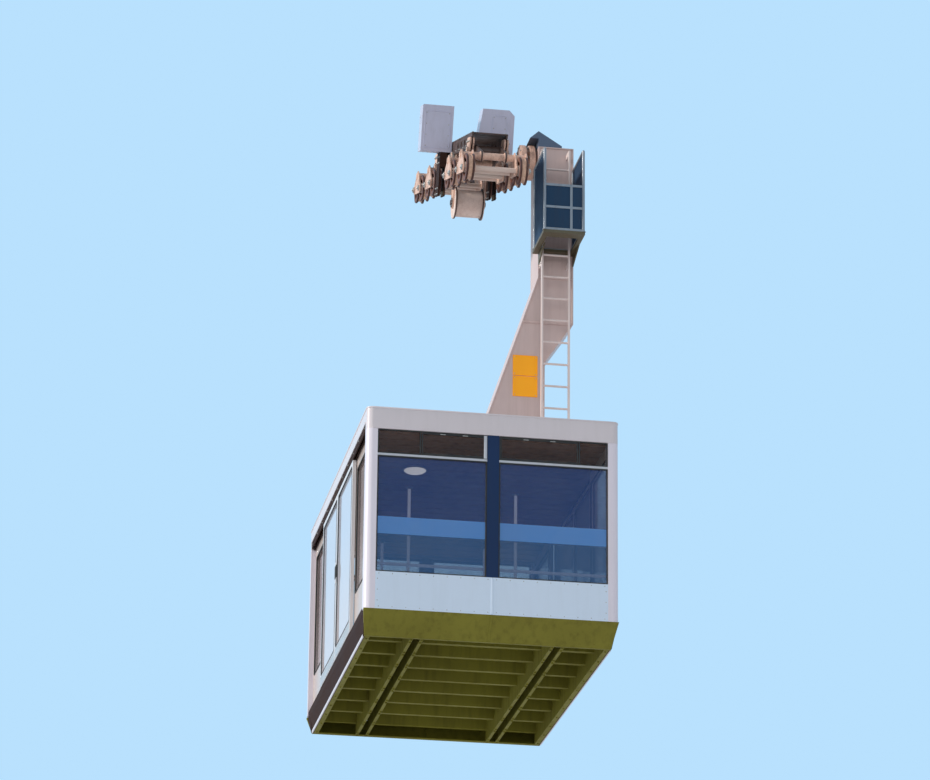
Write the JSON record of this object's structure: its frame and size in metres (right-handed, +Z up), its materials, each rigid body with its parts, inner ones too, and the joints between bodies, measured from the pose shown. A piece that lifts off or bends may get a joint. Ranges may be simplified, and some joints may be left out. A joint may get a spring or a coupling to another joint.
{
  "type": "aerial tramway cabin with hanger and carriage",
  "caption": "Boxy aerial tramway cabin with sliding doors, an offset hanger with a ladder and service platform, and a grooved-wheel carriage for twin track ropes.",
  "frame": {"origin": "midway between the two track ropes, at the middle of the carriage", "axes": "+X towards the hanger's side, +Y up the line and level, +Z straight up"},
  "size_m": [3, 5.04, 7.7557],
  "materials": {
    "frame_steel": "satin",
    "bare_steel": "machined",
    "primer_steel": "satin",
    "dark_steel": "satin",
    "housing_grey": "satin",
    "hanger_paint": "satin",
    "orange_plate": "satin",
    "ladder_paint": "satin",
    "platform_paint": "satin",
    "white_panel": "gloss",
    "ceiling_brown": "matt",
    "window_frame": "satin",
    "grey_trim": "satin",
    "tinted_glass": "clear",
    "khaki_paint": "satin",
    "beige_panel": "satin",
    "dark_strip": "matt",
    "white_rail": "gloss",
    "wheel_iron": "worn",
    "door_paint": "gloss"
  },
  "bodies": {
    "carriage": {"carriage_plates": "frame_steel", "carriage_brackets": "frame_steel", "carriage_cover": "frame_steel", "haul_rope_drum": "primer_steel", "rope_brakes": "dark_steel", "brake_housings": "housing_grey"},
    "rocker_lower": {"rocker_lower": "primer_steel"},
    "rocker_upper": {"rocker_upper": "primer_steel"},
    "bogie_1": {"bogie_1": "primer_steel"},
    "bogie_2": {"bogie_2": "primer_steel"},
    "bogie_3": {"bogie_3": "primer_steel"},
    "bogie_4": {"bogie_4": "primer_steel"},
    "wheelset_1a": {"wheelset_1a": "wheel_iron"},
    "wheelset_1b": {"wheelset_1b": "wheel_iron"},
    "wheelset_2a": {"wheelset_2a": "wheel_iron"},
    "wheelset_2b": {"wheelset_2b": "wheel_iron"},
    "wheelset_3a": {"wheelset_3a": "wheel_iron"},
    "wheelset_3b": {"wheelset_3b": "wheel_iron"},
    "wheelset_4a": {"wheelset_4a": "wheel_iron"},
    "wheelset_4b": {"wheelset_4b": "wheel_iron"},
    "cabin": {"swing_shaft": "bare_steel", "swing_damper": "primer_steel", "hanger_column": "hanger_paint", "head_cap": "dark_steel", "hanger_leg": "hanger_paint", "hanger_base": "hanger_paint", "notice_plates": "orange_plate", "ladder_stiles": "ladder_paint", "ladder_rungs": "ladder_paint", "platform_deck": "platform_paint", "platform_rail": "platform_paint", "platform_sheets": "platform_paint", "roof_fascia": "white_panel", "roof_panel": "white_panel", "ceiling": "ceiling_brown", "corner_posts": "white_panel", "end_panels": "white_panel", "end_mullions": "window_frame", "end_transoms": "grey_trim", "end_glass": "tinted_glass", "end_skirts": "khaki_paint", "side_walls": "beige_panel", "side_glass": "tinted_glass", "door_tracks": "dark_steel", "door_sills": "dark_strip", "floor_deck": "khaki_paint", "floor_beams": "khaki_paint", "cross_members": "khaki_paint", "floor_pans": "khaki_paint", "grab_rails": "white_rail", "waist_boards": "grey_trim"},
    "door_inner_lower": {"door_inner_lower": "door_paint", "door_glass_inner_lower": "tinted_glass"},
    "door_inner_upper": {"door_inner_upper": "door_paint", "door_glass_inner_upper": "tinted_glass"},
    "door_outer_lower": {"door_outer_lower": "door_paint", "door_glass_outer_lower": "tinted_glass"},
    "door_outer_upper": {"door_outer_upper": "door_paint", "door_glass_outer_upper": "tinted_glass"}
  },
  "joints": [
    {"name": "rocker_lower_pivot", "type": "hinge", "parent": "carriage", "child": "rocker_lower", "pos_m": [0, -1.39809, -0.00109], "axis": [1, 0, 0], "range_deg": [-6, 6]},
    {"name": "rocker_upper_pivot", "type": "hinge", "parent": "carriage", "child": "rocker_upper", "pos_m": [0, 1.13172, 0.8209], "axis": [1, 0, 0], "range_deg": [-6, 6]},
    {"name": "bogie_1_pivot", "type": "hinge", "parent": "rocker_lower", "child": "bogie_1", "pos_m": [0, -1.84272, -0.2507], "axis": [1, 0, 0], "range_deg": [-8, 8]},
    {"name": "bogie_2_pivot", "type": "hinge", "parent": "rocker_lower", "child": "bogie_2", "pos_m": [0, -0.89166, 0.05832], "axis": [1, 0, 0], "range_deg": [-8, 8]},
    {"name": "bogie_3_pivot", "type": "hinge", "parent": "rocker_upper", "child": "bogie_3", "pos_m": [0, 0.68709, 0.57128], "axis": [1, 0, 0], "range_deg": [-8, 8]},
    {"name": "bogie_4_pivot", "type": "hinge", "parent": "rocker_upper", "child": "bogie_4", "pos_m": [0, 1.63815, 0.8803], "axis": [1, 0, 0], "range_deg": [-8, 8]},
    {"name": "wheelset_1a_spin", "type": "hinge", "parent": "bogie_1", "child": "wheelset_1a", "pos_m": [0, -2.00004, -0.47846], "axis": [1, 0, 0], "continuous": true},
    {"name": "wheelset_1b_spin", "type": "hinge", "parent": "bogie_1", "child": "wheelset_1b", "pos_m": [0, -1.58157, -0.34249], "axis": [1, 0, 0], "continuous": true},
    {"name": "wheelset_2a_spin", "type": "hinge", "parent": "bogie_2", "child": "wheelset_2a", "pos_m": [0, -1.04898, -0.16945], "axis": [1, 0, 0], "continuous": true},
    {"name": "wheelset_2b_spin", "type": "hinge", "parent": "bogie_2", "child": "wheelset_2b", "pos_m": [0, -0.63051, -0.03348], "axis": [1, 0, 0], "continuous": true},
    {"name": "wheelset_3a_spin", "type": "hinge", "parent": "bogie_3", "child": "wheelset_3a", "pos_m": [0, 0.52977, 0.34352], "axis": [1, 0, 0], "continuous": true},
    {"name": "wheelset_3b_spin", "type": "hinge", "parent": "bogie_3", "child": "wheelset_3b", "pos_m": [0, 0.94824, 0.47949], "axis": [1, 0, 0], "continuous": true},
    {"name": "wheelset_4a_spin", "type": "hinge", "parent": "bogie_4", "child": "wheelset_4a", "pos_m": [0, 1.48083, 0.65254], "axis": [1, 0, 0], "continuous": true},
    {"name": "wheelset_4b_spin", "type": "hinge", "parent": "bogie_4", "child": "wheelset_4b", "pos_m": [0, 1.8993, 0.78851], "axis": [1, 0, 0], "continuous": true},
    {"name": "cabin_swing", "type": "hinge", "parent": "carriage", "child": "cabin", "pos_m": [0, -0.13906, 0.42797], "axis": [1, 0, 0], "range_deg": [-35, 35]},
    {"name": "door_inner_lower_slide", "type": "slide", "parent": "cabin", "child": "door_inner_lower", "axis": [0, -1, 0], "range_m": [0, 1.08]},
    {"name": "door_inner_upper_slide", "type": "slide", "parent": "cabin", "child": "door_inner_upper", "axis": [0, 1, 0], "range_m": [0, 1.08]},
    {"name": "door_outer_lower_slide", "type": "slide", "parent": "cabin", "child": "door_outer_lower", "axis": [0, -1, 0], "range_m": [0, 1.08]},
    {"name": "door_outer_upper_slide", "type": "slide", "parent": "cabin", "child": "door_outer_upper", "axis": [0, 1, 0], "range_m": [0, 1.08]}
  ]
}
